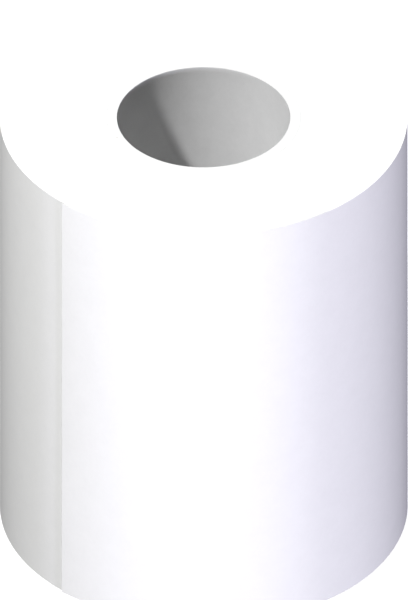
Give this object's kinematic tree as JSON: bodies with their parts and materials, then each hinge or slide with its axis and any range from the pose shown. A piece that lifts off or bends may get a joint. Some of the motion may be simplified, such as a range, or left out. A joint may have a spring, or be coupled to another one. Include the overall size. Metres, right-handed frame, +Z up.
{
  "type": "backdrop paper roll",
  "caption": "White seamless paper wound on a spiral paperboard core with an open bore, standing on end, with a loose outer end that draws out flat.",
  "frame": {"origin": "centre of the bottom end face of the roll, on the roll's axis, where the roll stands", "axes": "+Z up along the roll's axis; -Y towards the front, where the loose outer end lies; +X to the right seen from the front"},
  "size_m": [0.1344, 0.1346, 0.1568],
  "materials": {
    "seamless_paper": "matte",
    "core_liner": "matte",
    "core_board": "matte",
    "start_tape": "satin"
  },
  "bodies": {
    "roll": {"core_inner_liner": "core_liner", "core_board_ply_1": "core_board", "core_board_ply_2": "core_board", "core_board_ply_3": "core_board", "core_board_ply_4": "core_board", "core_outer_liner": "core_liner", "start_tape": "start_tape", "wound_paper": "seamless_paper"},
    "tail_01": {"paper_tail_01": "seamless_paper"},
    "tail_02": {"paper_tail_02": "seamless_paper"},
    "tail_03": {"paper_tail_03": "seamless_paper"},
    "tail_04": {"paper_tail_04": "seamless_paper"},
    "tail_05": {"paper_tail_05": "seamless_paper"},
    "tail_06": {"paper_tail_06": "seamless_paper"},
    "tail_07": {"paper_tail_07": "seamless_paper"},
    "tail_08": {"paper_tail_08": "seamless_paper"},
    "tail_09": {"paper_tail_09": "seamless_paper"},
    "tail_10": {"paper_tail_10": "seamless_paper"},
    "tail_11": {"paper_tail_11": "seamless_paper"},
    "tail_12": {"paper_tail_12": "seamless_paper"}
  },
  "joints": [
    {"name": "tail_fold_01", "type": "hinge", "parent": "roll", "child": "tail_01", "pos_m": [0.04127, -0.05326, 0.0784], "axis": [0, 0, 1], "range_deg": [0, 6.79], "stiffness_Nm_per_rad": 0.02},
    {"name": "tail_fold_02", "type": "hinge", "parent": "tail_01", "child": "tail_02", "pos_m": [0.03468, -0.05777, 0.0784], "axis": [0, 0, 1], "range_deg": [0, 6.79], "stiffness_Nm_per_rad": 0.02},
    {"name": "tail_fold_03", "type": "hinge", "parent": "tail_02", "child": "tail_03", "pos_m": [0.0276, -0.06147, 0.0784], "axis": [0, 0, 1], "range_deg": [0, 6.79], "stiffness_Nm_per_rad": 0.02},
    {"name": "tail_fold_04", "type": "hinge", "parent": "tail_03", "child": "tail_04", "pos_m": [0.02013, -0.0643, 0.0784], "axis": [0, 0, 1], "range_deg": [0, 6.79], "stiffness_Nm_per_rad": 0.02},
    {"name": "tail_fold_05", "type": "hinge", "parent": "tail_04", "child": "tail_05", "pos_m": [0.01238, -0.06623, 0.0784], "axis": [0, 0, 1], "range_deg": [0, 6.79], "stiffness_Nm_per_rad": 0.02},
    {"name": "tail_fold_06", "type": "hinge", "parent": "tail_05", "child": "tail_06", "pos_m": [0.00446, -0.06723, 0.0784], "axis": [0, 0, 1], "range_deg": [0, 6.79], "stiffness_Nm_per_rad": 0.02},
    {"name": "tail_fold_07", "type": "hinge", "parent": "tail_06", "child": "tail_07", "pos_m": [-0.00353, -0.06729, 0.0784], "axis": [0, 0, 1], "range_deg": [0, 6.79], "stiffness_Nm_per_rad": 0.02},
    {"name": "tail_fold_08", "type": "hinge", "parent": "tail_07", "child": "tail_08", "pos_m": [-0.01146, -0.0664, 0.0784], "axis": [0, 0, 1], "range_deg": [0, 6.79], "stiffness_Nm_per_rad": 0.02},
    {"name": "tail_fold_09", "type": "hinge", "parent": "tail_08", "child": "tail_09", "pos_m": [-0.01924, -0.06458, 0.0784], "axis": [0, 0, 1], "range_deg": [0, 6.79], "stiffness_Nm_per_rad": 0.02},
    {"name": "tail_fold_10", "type": "hinge", "parent": "tail_09", "child": "tail_10", "pos_m": [-0.02674, -0.06185, 0.0784], "axis": [0, 0, 1], "range_deg": [0, 6.79], "stiffness_Nm_per_rad": 0.02},
    {"name": "tail_fold_11", "type": "hinge", "parent": "tail_10", "child": "tail_11", "pos_m": [-0.03387, -0.05825, 0.0784], "axis": [0, 0, 1], "range_deg": [0, 6.79], "stiffness_Nm_per_rad": 0.02},
    {"name": "tail_fold_12", "type": "hinge", "parent": "tail_11", "child": "tail_12", "pos_m": [-0.04053, -0.05383, 0.0784], "axis": [0, 0, 1], "range_deg": [0, 6.79], "stiffness_Nm_per_rad": 0.02}
  ],
  "couplings": [
    {"joint": "tail_fold_02", "follows": "tail_fold_01", "ratio": 1},
    {"joint": "tail_fold_03", "follows": "tail_fold_01", "ratio": 1},
    {"joint": "tail_fold_04", "follows": "tail_fold_01", "ratio": 1},
    {"joint": "tail_fold_05", "follows": "tail_fold_01", "ratio": 1},
    {"joint": "tail_fold_06", "follows": "tail_fold_01", "ratio": 1},
    {"joint": "tail_fold_07", "follows": "tail_fold_01", "ratio": 1},
    {"joint": "tail_fold_08", "follows": "tail_fold_01", "ratio": 1},
    {"joint": "tail_fold_09", "follows": "tail_fold_01", "ratio": 1},
    {"joint": "tail_fold_10", "follows": "tail_fold_01", "ratio": 1},
    {"joint": "tail_fold_11", "follows": "tail_fold_01", "ratio": 1},
    {"joint": "tail_fold_12", "follows": "tail_fold_01", "ratio": 1}
  ]
}
